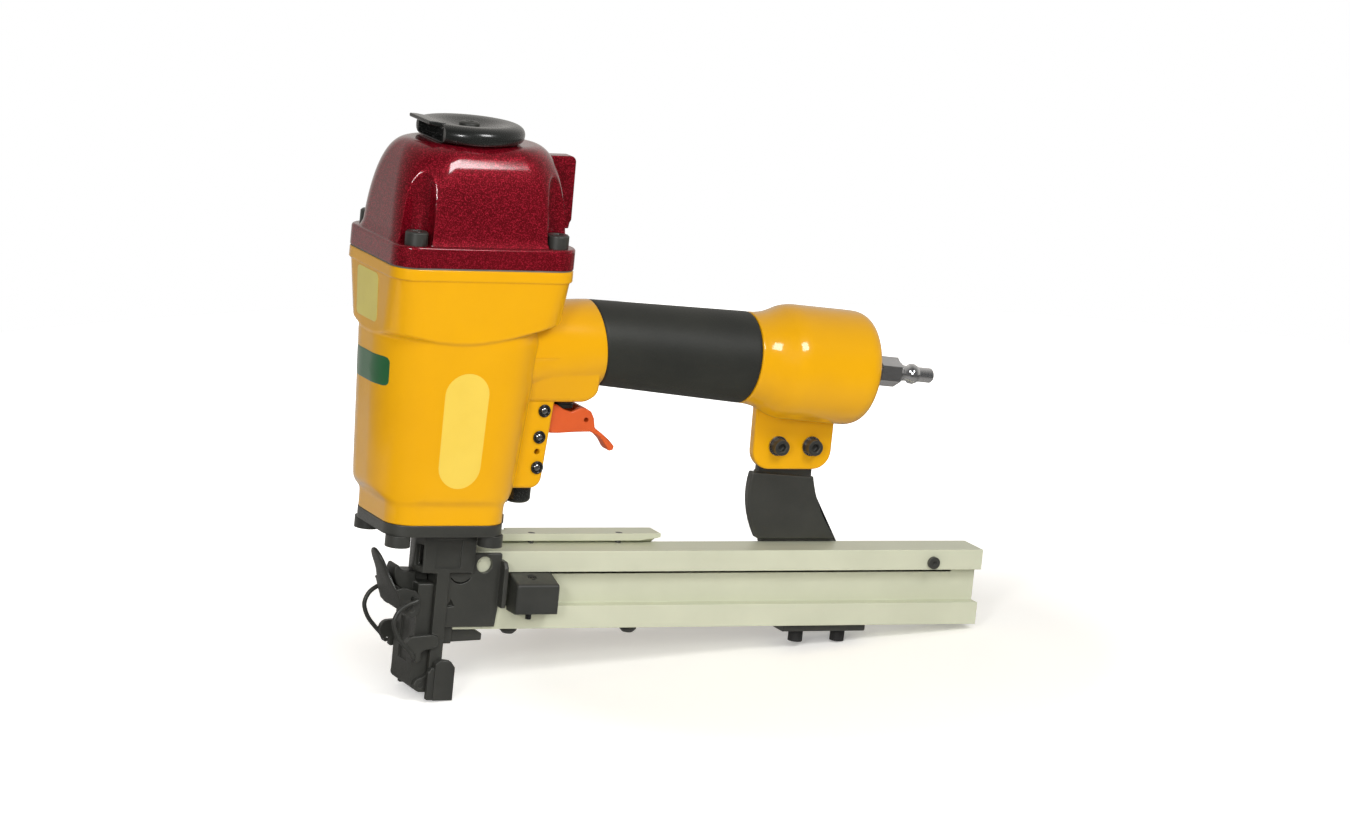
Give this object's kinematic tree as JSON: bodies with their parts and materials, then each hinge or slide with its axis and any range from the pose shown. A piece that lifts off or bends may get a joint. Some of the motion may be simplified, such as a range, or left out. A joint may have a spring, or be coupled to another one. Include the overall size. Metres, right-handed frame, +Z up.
{
  "type": "flooring nailer",
  "caption": "Pneumatic flooring nailer with a domed cap, rubber grip, air plug, latched nose door, contact shoe and a straight grooved magazine held by a rear stay.",
  "frame": {"origin": "centre of the contact foot's lower face, 7.9 mm behind the drive axis", "axes": "+X to the rear along the magazine, +Y to the tool's side away from the pusher, +Z up the drive axis"},
  "size_m": [0.3657, 0.076, 0.2985],
  "materials": {
    "yellow_paint": "gloss paint on cast alloy",
    "maroon_paint": "metallic paint with fine flake",
    "black_plastic": "satin moulded",
    "black_steel": "black oxide",
    "black_rubber": "fine grain",
    "gasket": "matte",
    "steel": "ground",
    "chrome": "polished",
    "aluminium": "satin anodised",
    "orange_plastic": "satin moulded"
  },
  "bodies": {
    "tool": {"body": "yellow_paint", "gasket": "gasket", "cap": "maroon_paint", "cap_screws": "black_steel", "deflector_screw": "black_steel", "sleeve": "aluminium", "bumper": "black_rubber", "head_valve_spring": "steel", "grip": "black_rubber", "end_cap": "black_plastic", "air_plug": "chrome", "block_pins": "steel", "pin_grommets": "black_rubber", "valve_body": "black_plastic", "stem_spring": "steel", "arm_guide": "black_plastic", "arm_spring": "steel", "bottom_plate": "black_steel", "base_screws": "black_steel", "nose": "black_steel", "door_pin_rod": "black_steel", "side_plate_near": "black_steel", "side_plate_far": "black_steel", "magazine": "aluminium", "top_strip": "aluminium", "strip_screws": "black_steel", "rear_screw": "black_steel", "magazine_screws": "black_steel", "end_stop": "black_plastic", "pusher_spring": "steel", "stay": "black_steel", "lug_screws": "black_steel", "lug_washers": "steel", "foot_screws": "black_rubber"},
    "deflector": {"deflector": "black_plastic"},
    "drive": {"piston": "aluminium", "piston_ring": "black_rubber", "driver_blade": "steel"},
    "head_valve": {"head_valve": "black_plastic"},
    "trigger": {"trigger": "orange_plastic"},
    "valve_stem": {"valve_stem": "steel"},
    "contact_arm": {"contact_arm": "black_steel"},
    "door": {"door": "black_steel", "lever_pin_rod": "black_steel"},
    "latch_lever": {"latch_lever": "black_steel"},
    "latch_wire": {"latch_wire": "black_steel"},
    "pusher": {"pusher": "black_plastic", "pusher_pin": "black_steel"}
  },
  "joints": [
    {"name": "deflector_turn", "type": "hinge", "parent": "tool", "child": "deflector", "pos_m": [-0.0079, 0, 0.29], "axis": [0, 0, 1], "continuous": true},
    {"name": "driver_stroke", "type": "slide", "parent": "tool", "child": "drive", "axis": [0, 0, -1], "range_m": [0, 0.08]},
    {"name": "head_valve_lift", "type": "slide", "parent": "tool", "child": "head_valve", "axis": [0, 0, 1], "range_m": [0, 0.006], "stiffness_N_per_m": 2500, "springref_m": -0.004, "deforming": ["head_valve_spring"]},
    {"name": "trigger_pull", "type": "hinge", "parent": "tool", "child": "trigger", "pos_m": [0.0423, 0, 0.1509], "axis": [0, -1, 0], "range_deg": [0, 8], "stiffness_Nm_per_rad": 0.9, "springref_deg": -8.59},
    {"name": "valve_stem_push", "type": "slide", "parent": "tool", "child": "valve_stem", "axis": [0, 0, 1], "range_m": [0, 0.0024], "deforming": ["stem_spring"]},
    {"name": "contact_arm_push", "type": "slide", "parent": "tool", "child": "contact_arm", "axis": [0, 0, 1], "range_m": [0, 0.005], "stiffness_N_per_m": 800, "springref_m": -0.02, "deforming": ["arm_spring"]},
    {"name": "door_swing", "type": "hinge", "parent": "tool", "child": "door", "pos_m": [-0.0131, 0, 0.007], "axis": [0, -1, 0], "range_deg": [0, 65]},
    {"name": "latch_lever_swing", "type": "hinge", "parent": "door", "child": "latch_lever", "pos_m": [-0.0214, 0, 0.047], "axis": [0, -1, 0], "range_deg": [0, 110]},
    {"name": "latch_wire_swing", "type": "hinge", "parent": "latch_lever", "child": "latch_wire", "pos_m": [-0.0211, 0, 0.0525], "axis": [0, -1, 0], "range_deg": [-110, 0]},
    {"name": "pusher_slide", "type": "slide", "parent": "tool", "child": "pusher", "axis": [1, 0, 0], "range_m": [0, 0.218], "stiffness_N_per_m": 25, "springref_m": -0.16, "deforming": ["pusher_spring"]}
  ],
  "couplings": [
    {"joint": "valve_stem_push", "follows": "trigger_pull", "m_per_rad": 0.0165},
    {"joint": "latch_wire_swing", "follows": "latch_lever_swing", "ratio": -1}
  ]
}
